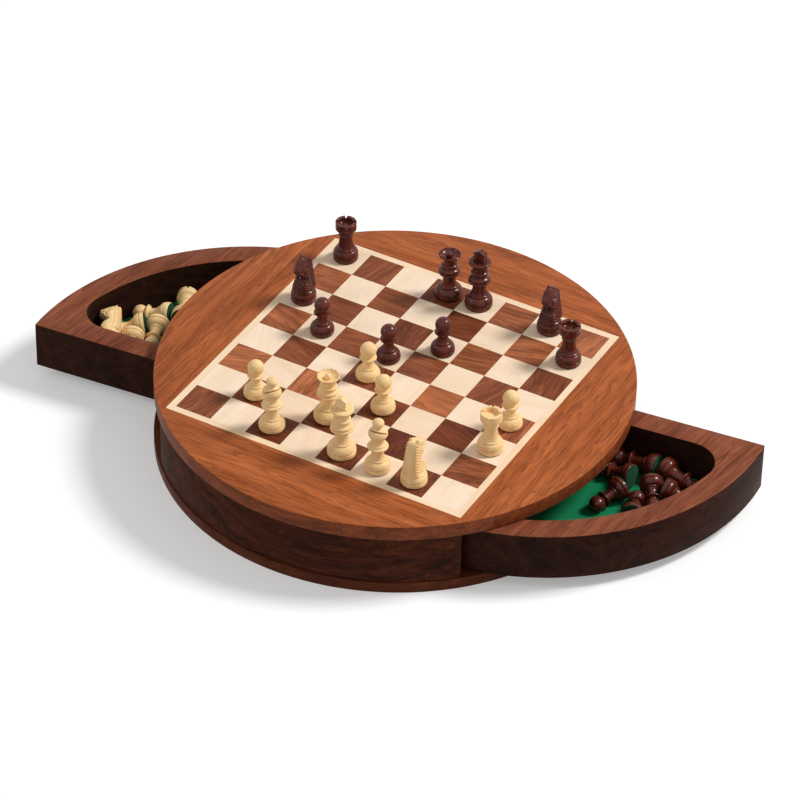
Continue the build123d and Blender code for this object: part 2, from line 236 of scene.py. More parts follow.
world = bpy.data.worlds.new("studio")
scene.world = world
world.use_nodes = True
world.node_tree.nodes.clear()
t = Tree(world.node_tree)
fill = t.add("ShaderNodeBackground", (1, 0.94, 0.87, 1), FILL)
backdrop = t.add("ShaderNodeBackground", WHITE, 1.0)
t.add("ShaderNodeOutputWorld", t.add("ShaderNodeMixShader", seen_directly(t), fill, backdrop))
scene.view_settings.view_transform = "Standard"
print("floor, two lamps and a white world are set")

# %% [markdown]
# ## Wood
#
# All the woods here share one anatomy: broad bands of colour, thin growth lines, and short dark
# pores, all drawn out along the grain. One node group makes these from a position in
# millimetres, with the grain along its first axis. Each finish then turns the position to its
# own grain and mixes its own colours, so the group gives values and never a colour of its own.

# %% Group: wood grain


def new_group(name, inputs, outputs, kind="ShaderNodeTree"):
    group = bpy.data.node_groups.new(name, kind)
    for label, form, *value in inputs:
        socket = group.interface.new_socket(label, in_out="INPUT", socket_type=form)
        if value:
            socket.default_value = value[0]
    for label, form in outputs:
        group.interface.new_socket(label, in_out="OUTPUT", socket_type=form)
    tree = Tree(group)
    return group, tree, tree.add("NodeGroupInput").outputs


NUMBER, VECTOR = "NodeSocketFloat", "NodeSocketVector"
grain_group, t, given = new_group(
    "Wood grain",
    [
        ("Position", VECTOR),
        ("Band Width", NUMBER, 9.0),
        ("Line Width", NUMBER, 2.4),
        ("Waviness", NUMBER, 6.0),
        ("Pore Length", NUMBER, 12.0),
    ],
    [("Bands", NUMBER), ("Lines", NUMBER), ("Pores", NUMBER), ("Height", NUMBER)],
)
along = t.vector("MULTIPLY", given["Position"], (0.09, 1, 1))
sway = t.math("SUBTRACT", t.noise(along, 0.045, 2.0), 0.5)
sway = t.math("MULTIPLY", t.math("MULTIPLY", sway, given["Waviness"]), 4.0)
drawn = t.vector("ADD", along, t.add("ShaderNodeCombineXYZ", 0.0, sway, sway))
bands = t.noise(drawn, t.math("DIVIDE", 1.0, given["Band Width"]), 4.0, Roughness=0.55)
bands = t.ramp(bands, 0.3, 0.7)
split = t.add("ShaderNodeSeparateXYZ", drawn)
rings = t.math("ADD", split.outputs["Y"], t.math("MULTIPLY", split.outputs["Z"], 0.35))
rings = t.math("DIVIDE", rings, given["Line Width"])
rings = t.math("ADD", rings, t.math("MULTIPLY", t.noise(drawn, 0.35, 2.0), 3.0))
lines = t.math("POWER", t.math("FRACT", rings), 3.0)
fibre = t.vector("MULTIPLY", given["Position"], (0.05, 2.4, 2.4))
short = t.vector("MULTIPLY", given["Position"], (1, 10, 10))
short = t.vector("SCALE", short, Scale=t.math("DIVIDE", 1.0, given["Pore Length"]))
pores = t.math("MULTIPLY", t.noise(fibre, 1.0, 1.0), t.math("ADD", t.noise(short, 1.0, 2.0), 0.5))
pores = t.ramp(pores, 0.52, 0.72)
height = t.math("SUBTRACT", 1.0, t.math("ADD", t.math("MULTIPLY", lines, 0.35), pores))
t.add("NodeGroupOutput", Bands=bands, Lines=lines, Pores=pores, Height=height)
print("wood grain group has", len(grain_group.nodes), "nodes")

# %% [markdown]
# Handling leaves its mark on a polished thing: the lacquer is a little duller in some places
# than in others, and it carries faint smears. One group gives that as an unevenness mask.

# %% Group: handling marks
marks_group, t, given = new_group(
    "Handling marks", [("Position", VECTOR), ("Size", NUMBER, 18.0)], [("Marks", NUMBER)]
)
clouds = t.noise(given["Position"], t.math("DIVIDE", 1.0, given["Size"]), 5.0, Roughness=0.62)
t.add("NodeGroupOutput", Marks=t.ramp(clouds, 0.35, 0.7))

# %% [markdown]
# The surround and the border are laid in four strips each, with the grain of every strip
# parallel to its side of the board. This group looks at which side a point belongs to and turns
# the position there, so one material serves all four strips.

# %% Group: grain round the board
sides_group, t, given = new_group(
    "Grain round the board", [("Position", VECTOR)], [("Turned", VECTOR)]
)
split = t.add("ShaderNodeSeparateXYZ", given["Position"])
across, back = split.outputs["X"], split.outputs["Y"]
at_end = t.math("GREATER_THAN", t.math("ABSOLUTE", across), t.math("ABSOLUTE", back))
far_hand = t.math("GREATER_THAN", back, 0.0)
ends = t.math("ADD", t.math("GREATER_THAN", across, 0.0), 2.0)
side = t.add("ShaderNodeMix", at_end, None, far_hand, ends)
turned = t.add("ShaderNodeCombineXYZ", back, across, split.outputs["Z"])
position = t.add("ShaderNodeMix", data_type="VECTOR")
for socket, value in ((0, at_end), (4, given["Position"]), (5, turned)):
    t.put(position.inputs[socket], value)
apart = t.vector("SCALE", (431.0, 73.0, 0.0), Scale=side)
t.add("NodeGroupOutput", Turned=t.vector("ADD", position.outputs[1], apart))

# %% [markdown]
# Every wooden finish is laid the same way: the base colour is mixed from a light and a dark
# tone by the bands, the growth lines and pores darken it, and the lines stand a hair proud of
# the pores under a satin lacquer. Only the numbers differ, so one function builds them all. The
# plain numbers, such as the coat's weight, sit on the shader's own sockets.

# %% Wooden finishes
GRAIN = ("Band_Width", "Line_Width", "Waviness", "Pore_Length")


def group_node(tree, group, **named):
    return tree.add("ShaderNodeGroup", node_tree=group, **named)


def in_millimetres(tree, turn=(0, 0, 0), shift=(0, 0, 0), source=None):
    """The position on the piece in millimetres, turned so that the grain runs along X."""
    if source is None:
        source = tree.add("ShaderNodeTexCoord").outputs["Object"]
    scale = (1 / mm, 1 / mm, 1 / mm)
    return tree.add("ShaderNodeMapping", source, shift, turn, scale).outputs["Vector"]


def mixed(tree, factor, one, other, blend="MIX"):
    node = tree.add("ShaderNodeMix", data_type="RGBA", blend_type=blend)
    for socket, value in ((0, factor), (6, one), (7, other)):
        tree.put(node.inputs[socket], value)
    return node.outputs[2]


def wooden(name, place, stains, grain, lines, pores, roughness, specular,
           relief=0.04, coat=0.0, coat_roughness=0.1):
    """A wood in its light, dark and line stains. `place` gives its position and perhaps a tone."""
    material, tree = new_material(name)
    position, tone = place(tree)
    light, dark, line = (colour(*stain) for stain in stains)
    wood = group_node(tree, grain_group, Position=position, **dict(zip(GRAIN, grain)))
    base = mixed(tree, wood.outputs["Bands"], light, dark)
    base = mixed(tree, tree.math("MULTIPLY", wood.outputs["Lines"], lines), base, line)
    base = mixed(tree, tree.math("MULTIPLY", wood.outputs["Pores"], pores), base, line)
    if tone is not None:
        base = mixed(tree, 1.0, base, tone, blend="MULTIPLY")
    marks = group_node(tree, marks_group, Position=position)
    height = wood.outputs["Height"]
    bump = tree.add("ShaderNodeBump", Strength=relief, Distance=0.4 * mm, Height=height)
    finish_material(tree, tree.add(
        "ShaderNodeBsdfPrincipled",
        Base_Color=base,
        Roughness=tree.ramp(marks.outputs["Marks"], 0.0, 1.0, *roughness),
        Normal=bump,
        Specular_IOR_Level=specular,
        Coat_Weight=coat,
        Coat_Roughness=coat_roughness,
    ))
    return material


def round_the_board(tree):
    return group_node(tree, sides_group, Position=in_millimetres(tree)).outputs["Turned"], None


surround_wood = wooden(
    "surround_wood", round_the_board, ((192, 110, 62), (148, 76, 38), (88, 40, 20)),
    (9.0, 4.2, 9.0, 18.0), lines=0.55, pores=0.55, roughness=(0.34, 0.46), specular=0.1,
)
border_maple = wooden(
    "border_maple", round_the_board, ((250, 230, 204), (240, 214, 184), (214, 178, 142)),
    (6.0, 1.7), lines=0.2, pores=0.16, roughness=(0.4, 0.5), specular=0.12,
)

# %% [markdown]
# Each square of the board is cut from its own piece of veneer, so its neighbours differ in tone
# and in the run of the grain. The square's number along and across the board comes from the
# position, and white noise turns that number into a tone, a turn and a shift of its own.

# %% Squares
SQUARE = 25.0  # a square's side, in millimetres

squares_group, t, given = new_group(
    "Veneer by the square",
    [("Position", VECTOR), ("Seed", NUMBER, 0.0)],
    [("Turned", VECTOR), ("Tone", NUMBER), ("Hue", NUMBER)],
)
cell = t.vector("DIVIDE", given["Position"], (SQUARE, SQUARE, 1000.0))
cell = t.vector("FLOOR", t.vector("ADD", cell, (0.0, 0.0, 0.5)))
seeded = t.vector("ADD", cell, t.add("ShaderNodeCombineXYZ", 0.0, 0.0, given["Seed"]))
chance = t.add("ShaderNodeTexWhiteNoise", seeded)
parts = t.add("ShaderNodeSeparateColor", chance.outputs["Color"])
lengthwise = t.math("GREATER_THAN", parts.outputs["Red"], 0.55)
swing = t.math("MULTIPLY", t.math("SUBTRACT", parts.outputs["Green"], 0.5), 0.7)
angle = t.math("ADD", t.math("MULTIPLY", lengthwise, pi / 2), swing)
spread = t.add(
    "ShaderNodeVectorRotate", rotation_type="Z_AXIS", Vector=given["Position"], Angle=angle
)
spread = t.vector("SCALE", spread, Scale=t.math("ADD", chance.outputs["Value"], 0.55))
apart = t.vector("MULTIPLY", chance.outputs["Color"], (930.0, 870.0, 410.0))
turned = t.vector("ADD", spread, apart)
t.add("NodeGroupOutput", Turned=turned, Tone=parts.outputs["Blue"], Hue=chance.outputs["Value"])


def by_the_square(seed, pale, deep, tint):
    """The grain and the tone of a square, whose tones lie between a pale and a deep one."""
    def place(tree):
        veneer = group_node(tree, squares_group, Position=in_millimetres(tree), Seed=seed)
        tone = mixed(tree, veneer.outputs["Tone"], (*pale, 1), (*deep, 1))
        tone = mixed(tree, veneer.outputs["Hue"], tone, (*tint, 1), blend="MULTIPLY")
        return veneer.outputs["Turned"], tone

    return place


dark_veneer = wooden(
    "dark_veneer", by_the_square(3.0, (1.6, 1.9, 2.0), (0.5, 0.42, 0.42), (0.95, 0.98, 1.3)),
    ((174, 98, 58), (118, 60, 34), (66, 28, 16)), (6.0, 2.8, 9.0), lines=0.55, pores=0.6,
    roughness=(0.34, 0.46), specular=0.1,
)
light_veneer = wooden(
    "light_veneer", by_the_square(8.0, (1.04, 1.05, 1.08), (0.97, 0.94, 0.92), (1, 1.01, 1.04)),
    ((247, 230, 208), (238, 216, 189), (212, 178, 144)), (8.0, 2.2), lines=0.16, pores=0.14,
    roughness=(0.4, 0.5), specular=0.12,
)

# %% [markdown]
# The box itself is darker than its lid: solid wood with a lively figure. The grain of each
# solid part runs straight through it, so the same position gives matching grain on its top and
# on its sides. The rims of the two discs are redder. The trays have three finishes: a sanded rim,
# outer walls darkened as painted shade, and a hollow left nearly bare and darkened as painted
# shade of the recess.

# %% Solid woods


def straight(degrees=0, shift=(0, 0, 0)):
    """Grain that runs straight through a part, at an angle to X."""
    return lambda tree: (in_millimetres(tree, (0, 0, radians(-degrees)), shift), None)


rim_wood = wooden(
    "rim_wood", straight(), ((150, 78, 42), (104, 50, 26), (56, 24, 13)), (5.0, 2.0),
    lines=0.4, pores=0.5, roughness=(0.36, 0.5), specular=0.1,
)
base_wood = wooden(
    "base_wood", straight(20, (300, 80, 40)), ((112, 58, 34), (80, 38, 22), (46, 19, 11)), (5.0, 2.2),
    lines=0.4, pores=0.5, roughness=(0.4, 0.55), specular=0.08,
)
drum_wood = wooden(
    "drum_wood", straight(12, (70, 10, 5)), ((96, 48, 29), (42, 20, 13), (22, 10, 7)),
    (7.0, 3.4, 14.0), lines=0.6, pores=0.5, roughness=(0.45, 0.56), specular=0.04,
)
ALONG_TRAY = 82  # degrees, the way the grain of a tray runs
tray_rims, shaded_tray_walls = {}, {}
for side, shift in (("right", 500), ("left", 950)):
    place = straight(ALONG_TRAY, (shift, 60, 20))
    tray_rims[side] = wooden(
        f"{side}_tray_rim", place, ((154, 90, 64), (112, 60, 42), (64, 30, 20)), (6.0, 2.6, 5.0),
        lines=0.55, pores=0.6, roughness=(0.42, 0.56), specular=0.08,
    )
    # The outer walls: the rim's wood and grain, darkened as painted shade.
    shaded_tray_walls[side] = wooden(
        f"{side}_tray_wall", place, ((66, 34, 23), (32, 15, 11), (18, 8, 6)), (7.0, 3.2, 9.0),
        lines=0.55, pores=0.55, roughness=(0.45, 0.56), specular=0.04,
    )
# The hollow: dark wood as painted shade of the recess, with a rough bare finish.
shaded_hollow_wood = wooden(
    "shaded_hollow_wood", straight(ALONG_TRAY), ((56, 32, 24), (33, 17, 13), (16, 8, 6)), (5.0, 1.6),
    lines=0.5, pores=0.4, roughness=(0.6, 0.75), specular=0.05,
)

# %% [markdown]
# The turned pieces come in two woods: pale boxwood under a thin satin finish, and a wood
# stained very dark red-brown under a glossy lacquer. Their grain runs up the piece, wherever
# the piece lies. So these two finishes read an attribute, `blank`, the place in the block of
# wood that the piece was turned from, and not the object's coordinates.

# %% Woods of the pieces


def up_the_blank(tree):
    blank = tree.add("ShaderNodeAttribute", attribute_name="blank").outputs["Vector"]
    return in_millimetres(tree, (0, pi / 2, 0), source=blank), None


boxwood = wooden(
    "boxwood", up_the_blank, ((250, 222, 172), (240, 204, 148), (208, 158, 100)), (4.0, 1.3, 2.0),
    lines=0.2, pores=0.14, roughness=(0.38, 0.46), specular=0.12, relief=0.02, coat=0.06,
    coat_roughness=0.3,
)
stained_wood = wooden(
    "stained_wood", up_the_blank, ((112, 46, 32), (66, 25, 18), (30, 11, 8)), (4.0, 1.5, 2.0),
    lines=0.3, pores=0.25, roughness=(0.3, 0.4), specular=0.08, relief=0.02, coat=0.4,
    coat_roughness=0.13,
)

# %% [markdown]
# Felt is a mat of short fibres. Its look is nearly all in its colour and in a soft sheen at a
# grazing angle, with fine speckle from the fibres. The trays' lining is a brighter green than
# the thin discs under the pieces, so a group gives the fibres to both.

# %% Felt and steel
felt_group, t, given = new_group(
    "Felt fibres", [("Position", VECTOR)], [("Fibres", NUMBER), ("Nap", NUMBER)]
)
fibres = t.ramp(t.noise(given["Position"], 2.6, 3.0, Roughness=0.7), 0.3, 0.7)
t.add("NodeGroupOutput", Fibres=fibres, Nap=t.ramp(t.noise(given["Position"], 0.07, 2.0), 0.35, 0.65))


def felt_finish(name, light, dark, sheen):
    material, tree = new_material(name)
    felt = group_node(tree, felt_group, Position=in_millimetres(tree))
    dark, light = colour(*dark), colour(*light)
    base = mixed(tree, felt.outputs["Fibres"], dark, light)
    base = mixed(tree, tree.math("MULTIPLY", felt.outputs["Nap"], 0.25), base, dark)
    bump = tree.add("ShaderNodeBump", Strength=0.5, Distance=0.3 * mm, Height=felt.outputs["Fibres"])
    finish_material(tree, tree.add(
        "ShaderNodeBsdfPrincipled", Base_Color=base, Roughness=0.95, Specular_IOR_Level=0.1,
        Normal=bump, Sheen_Weight=sheen, Sheen_Roughness=0.5,
    ))
    return material


tray_felt = felt_finish("tray_felt", (4, 150, 98), (0, 106, 66), 0.1)
foot_felt = felt_finish("foot_felt", (24, 88, 58), (8, 46, 30), 0.05)


def steel_finish(name, light, dark, stretch):
    material, tree = new_material(name)
    streaks = tree.noise(tree.vector("MULTIPLY", in_millimetres(tree), stretch), 1.0, 3.0)
    base = mixed(tree, streaks, colour(*dark), colour(*light))
    rough = tree.ramp(streaks, 0.3, 0.7, 0.28, 0.42)
    finish_material(
        tree, tree.add("ShaderNodeBsdfPrincipled", Base_Color=base, Roughness=rough, Metallic=1.0)
    )
    return material


sheet_steel = steel_finish("sheet_steel", (200, 202, 204), (150, 152, 156), (0.05, 4, 1))
round_steel = steel_finish("round_steel", (206, 206, 204), (160, 160, 160), (2, 2, 0.3))
print(len(bpy.data.materials), "materials,", len(bpy.data.node_groups), "shader groups")

# %% [markdown]
# ## The box
#
# The discs, the drum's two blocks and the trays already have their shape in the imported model,
# but as bare solids with sharp edges and flat facets. A copy of each is merged into one skin,
# its curved walls are shaded smooth, and its edges get the small round that sanding leaves,
# which is what catches the light along a wooden rim.

# %% Copy of a solid with sanded edges
FLAT = radians(0.4)  # neighbouring faces that bend less than this are one
CREASE = radians(30)  # an edge that bends more than this stays sharp
EDGE = radians(40)  # an edge that bends more than this is sanded


def mesh_of(form, name):
    mesh = bpy.data.meshes.new(name)
    form.to_mesh(mesh)
    form.free()
    return mesh


def strip(form, one, other, closed=True):
    """A row of faces between two rows of points, which closes on itself or not."""
    for k in range(len(one) if closed else len(one) - 1):
        after = (k + 1) % len(one)
        form.faces.new((one[k], one[after], other[after], other[k]))


def finished(name, mesh, material, body, replaced):
    """One piece of the picture: shaded smooth up to an angle, on its body, with the parts it replaces
    hidden.
    """
    if material is not None:
        give(mesh, material)
    mesh.shade_smooth()
    mesh.set_sharp_from_angle(angle=CREASE)
    piece = in_scene(name, mesh)
    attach(piece, body)
    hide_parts(*replaced)


def plain_mesh(source, name):
    """The evaluated mesh of an object, its modifiers applied, and the object removed."""
    bpy.context.view_layer.update()
    evaluated = source.evaluated_get(bpy.context.evaluated_depsgraph_get())
    mesh = bpy.data.meshes.new_from_object(evaluated)
    mesh.name = name
    bpy.data.objects.remove(source)
    return mesh


def sanded_copy(node, name, width):
    """A CAD node's mesh merged into one skin, with its sharp edges rounded."""
    form = bmesh.new()
    form.from_mesh(nodes[node].data)
    bmesh.ops.remove_doubles(form, verts=form.verts, dist=0.002 * mm)
    bmesh.ops.recalc_face_normals(form, faces=form.faces)
    bmesh.ops.dissolve_limit(form, angle_limit=FLAT, verts=form.verts, edges=form.edges)
    holder = in_scene(name, mesh_of(form, name))
    bevel = holder.modifiers.new("sanded", "BEVEL")
    bevel.width, bevel.segments = width * mm, 3
    bevel.limit_method, bevel.angle_limit = "ANGLE", EDGE
    return plain_mesh(holder, name)


box_parts = [
    ("top_disc", "lid_core", rim_wood, 0.5, "red_wood"),
    ("bottom_disc", "base_disc", base_wood, 0.8, "red_wood"),
    ("front_block", "front_drum_wall", drum_wood, 0.4, "dark_wood"),
    ("rear_block", "rear_drum_wall", drum_wood, 0.4, "dark_wood"),
]
for node, name, material, width, slot in box_parts:
    mesh = sanded_copy(node, name, width)
    finished(name, mesh, material, "box", [node])
    print(name, len(mesh.polygons), "faces")

# %% [markdown]
# A tray's rim, its outer walls and its hollow look different. The rim was sanded and shows its
# grain, the walls are the same wood darkened as painted shade, and the hollow is darkened as
# painted shade of the recess. A face that looks up belongs to the rim, and a wall that looks
# towards the middle of the lining belongs to the hollow.

# %% Trays
LOOKS_UP = 0.7  # a face whose normal rises more than this is level, not a wall
RIM, SHADED_WALL, HOLLOW = 0, 1, 2
for side in ("right", "left"):
    node = f"{side}_tray"
    mesh = sanded_copy(node, f"{side}_tray_box", 0.7)
    give(mesh, tray_rims[side], shaded_tray_walls[side], shaded_hollow_wood)
    floor_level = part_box(f"{side}_lining")[1].z
    edge = [v.co.xy for v in nodes[f"{side}_lining"].data.vertices]
    middle = sum(edge, Vector((0, 0))) / len(edge)
    for face in mesh.polygons:
        height, rise = face.center.z, face.normal.z
        inward = face.normal.xy.dot(middle - face.center.xy) > 0
        hollow_wall = height > floor_level and inward and abs(rise) < LOOKS_UP
        hollow_floor = height < floor_level + 1 * mm and rise > LOOKS_UP
        # Faces of the hollow get the wood darkened as painted shade of the recess.
        if hollow_wall or hollow_floor:
            face.material_index = HOLLOW
        else:
            # Faces that do not look up get the wood darkened as painted shade.
            face.material_index = RIM if rise >= LOOKS_UP else SHADED_WALL
    finished(f"{side}_tray_box", mesh, None, f"{side}_tray_body", [node])
    print(node, "has", sum(f.material_index == HOLLOW for f in mesh.polygons), "faces in its hollow")

# %% [markdown]
# The surround is four circle segments of veneer. Each is swept round the board: at every turn
# its section runs from the straight inner edge out to the rim, where the edge is rounded off.

# %% Surround
segments_low, segments_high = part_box("surround_segments")
board_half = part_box("border_strips")[1].x
under, top, rim_radius = segments_low.z, segments_high.z, segments_high.x
rounding = 0.45 * mm
JOINT = 0.005  # degrees left at each end of a segment
STEPS, BENDS = 96, 4
form = bmesh.new()
for quarter in range(4):
    sections = []
    for step in range(STEPS + 1):
        turn = radians(-45 + JOINT + (90 - 2 * JOINT) * step / STEPS)
        inner = board_half / cos(turn)
        line = [(inner, under), (rim_radius, under), (rim_radius, top - rounding)]
        for bend in range(1, BENDS + 1):
            arc = radians(90 * bend / BENDS)
            line.append((rim_radius - rounding * (1 - cos(arc)), top - rounding * (1 - sin(arc))))
        line.append((inner, top))
        facing = turn + quarter * pi / 2
        sections.append([form.verts.new((r * cos(facing), r * sin(facing), z)) for r, z in line])
    for one, other in zip(sections, sections[1:]):
        strip(form, one, other)
    form.faces.new(sections[0])
    form.faces.new(sections[-1][::-1])
bmesh.ops.recalc_face_normals(form, faces=form.faces)
mesh = mesh_of(form, "surround_veneer")
finished("surround_veneer", mesh, surround_wood, "box", ["surround_segments"])
print("surround veneer", len(mesh.polygons), "faces")

# %% [markdown]
# The parts that are flat in life too, the squares, the border, the linings and the steel, keep
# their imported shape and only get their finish.

# %% Flat parts
for node, material in (
    ("dark_squares", dark_veneer),
    ("light_squares", light_veneer),
    ("border_strips", border_maple),
    ("right_lining", tray_felt),
    ("left_lining", tray_felt),
    ("steel_sheet", sheet_steel),
    ("pivot_pins", round_steel),
):
    give(nodes[node].data, material)

# %% [markdown]
# ## Turned pieces
#
# A chess piece is turned on a lathe: a tool follows one profile while the wood spins. The same
# rule makes it here with Geometry Nodes. The profile is drawn once as a row of points, and the
# tree copies it round the axis. It can also saw slots into the top, for the battlements of a
# rook and the points of a coronet, because these repeat round the same axis.

# %% Tree: turned form
GEOMETRY, WHOLE, MATERIAL = "NodeSocketGeometry", "NodeSocketInt", "NodeSocketMaterial"
SEAM = 0.002 * mm  # points nearer than this close the skin's seam

turned_tree, t, given = new_group(
    "Turned form",
    [
        ("Geometry", GEOMETRY),
        ("Sides", WHOLE, 56),
        ("Slots", WHOLE, 0),
        ("Slot Width", NUMBER, 0.0012),
        ("Slot Depth", NUMBER, 0.0018),
        ("Slot Length", NUMBER, 0.006),
        ("Slot Radius", NUMBER, 0.006),
        ("Top", NUMBER, 0.03),
        ("Wood", MATERIAL),
    ],
    [("Geometry", GEOMETRY)],
    "GeometryNodeTree",
)
profile = given["Geometry"]
size = t.add("GeometryNodeAttributeDomainSize", profile, component="MESH")
around = t.math("ADD", given["Sides"], 1)
grid = t.add("GeometryNodeMeshGrid", 1.0, 1.0, size.outputs["Point Count"], around)
index = t.add("GeometryNodeInputIndex")
level = t.math("FLOOR", t.math("DIVIDE", t.math("ADD", index, 0.5), around))
step = t.math("FLOORED_MODULO", index, around)
turn = t.math("MULTIPLY", t.math("DIVIDE", step, given["Sides"]), 2 * pi)
drawn = t.add(
    "GeometryNodeSampleIndex", data_type="FLOAT_VECTOR", domain="POINT", Geometry=profile,
    Value=t.add("GeometryNodeInputPosition"), Index=level,
)
spun = t.add("ShaderNodeVectorRotate", rotation_type="Z_AXIS", Vector=drawn, Angle=turn)
skin = t.add("GeometryNodeSetPosition", Geometry=grid, Position=spun)
closed = t.add("GeometryNodeMergeByDistance", Geometry=skin, Distance=SEAM)

ring_points = t.math("MAXIMUM", given["Slots"], 3)
ring = t.add("GeometryNodeMeshCircle", Vertices=ring_points, Radius=given["Slot Radius"])
deep = t.math("MULTIPLY", given["Slot Depth"], 2.0)
blade = t.add("ShaderNodeCombineXYZ", given["Slot Length"], given["Slot Width"], deep)
saw = t.add("GeometryNodeMeshCube", blade)
facing = t.vector("NORMALIZE", t.add("GeometryNodeInputPosition"))
aimed = t.add("FunctionNodeAlignRotationToVector", axis="X", pivot_axis="Z", Vector=facing)
cuts = t.add("GeometryNodeInstanceOnPoints", Points=ring, Instance=saw, Rotation=aimed)
cuts = t.add("GeometryNodeRealizeInstances", cuts)
top = t.add("ShaderNodeCombineXYZ", 0.0, 0.0, given["Top"])
raised = t.add("GeometryNodeTransform", Geometry=cuts, Translation=top)
sawn = t.add(
    "GeometryNodeMeshBoolean", operation="DIFFERENCE", solver="EXACT", Mesh_1=closed, Mesh_2=raised
)
has_slots = t.math("GREATER_THAN", given["Slots"], 0.5)
chosen = t.add("GeometryNodeSwitch", has_slots, closed, sawn.outputs["Mesh"], input_type="GEOMETRY")
chosen = t.add("GeometryNodeRealizeInstances", chosen)
woody = t.add("GeometryNodeSetMaterial", Geometry=chosen, Material=given["Wood"])
t.add("NodeGroupOutput", Geometry=woody)
print("turned form tree has", len(turned_tree.nodes), "nodes")

# %% [markdown]
# A profile is written as heights and radii, from the foot up, as they were measured on the
# photograph. A point with no bulge is reached by a straight cut. A positive bulge swells
# outwards as a bead does, and a negative one hollows inwards as a cove does.

# %% Drawing a profile


def drawn_profile(points, arc_steps=7, short=0.05):
    """Points (height, radius, bulge) in millimetres made into a fine row of (radius, height)."""
    row = [(points[0][1], points[0][0])]
    for height, radius, bulge in ((*point, 0)[:3] for point in points[1:]):
        last_radius, last_height = row[-1]
        chord = Vector((radius - last_radius, height - last_height))
        if bulge and chord.length > short:
            outward = Vector((chord.y, -chord.x)) * 0.5
            for step in range(1, arc_steps):
                share = step / arc_steps
                swell = 4 * share * (1 - share) * bulge
                row.append((last_radius + chord.x * share + outward.x * swell,
                            last_height + chord.y * share + outward.y * swell))
        row.append((radius, height))
    return [(max(r, 0.0), z) for r, z in row]


def turned_mesh(name, points, material, **inputs):
    row = drawn_profile(points)
    mesh = bpy.data.meshes.new(name)
    links = [(i, i + 1) for i in range(len(row) - 1)]
    mesh.from_pydata([(r * mm, 0, z * mm) for r, z in row], links, [])
    holder = in_scene(name, mesh)
    lathe = holder.modifiers.new("lathe", "NODES")
    lathe.node_group = turned_tree
    sockets = {s.name: s.identifier for s in turned_tree.interface.items_tree if s.in_out == "INPUT"}
    for label, value in {"Wood": material, **inputs}.items():
        lathe[sockets[label.replace("_", " ")]] = value
    return outward_faces(plain_mesh(holder, name))


def outward_faces(mesh):
    form = bmesh.new()
    form.from_mesh(mesh)
    bmesh.ops.remove_doubles(form, verts=form.verts, dist=0.001 * mm)
    bmesh.ops.recalc_face_normals(form, faces=form.faces)
    form.to_mesh(mesh)
    form.free()
    return mesh


FELT = 0.55  # thickness of the felt under a piece


def foot(radius, waist, waist_height, groove):
    """The moulded foot: a plinth, a groove above it, a full bell and a ring on the bell."""
    return [
        (FELT, 0.0), (FELT, radius - 0.45), (FELT + 0.35, radius - 0.12, 0.2),
        (groove - 0.6, radius, 0.06), (groove - 0.25, radius - 0.2, 0.2), (groove - 0.05, radius - 0.8),
        (groove + 0.2, radius - 0.75), (groove + 0.5, radius - 0.12, 0.1),
        (waist_height - 0.9, waist + 0.8, 0.24), (waist_height - 0.75, waist + 0.35),
        (waist_height - 0.4, waist + 0.4, 0.2), (waist_height + 0.4, waist + 0.1, 0.4),
        (waist_height + 0.6, waist - 0.3),
    ]


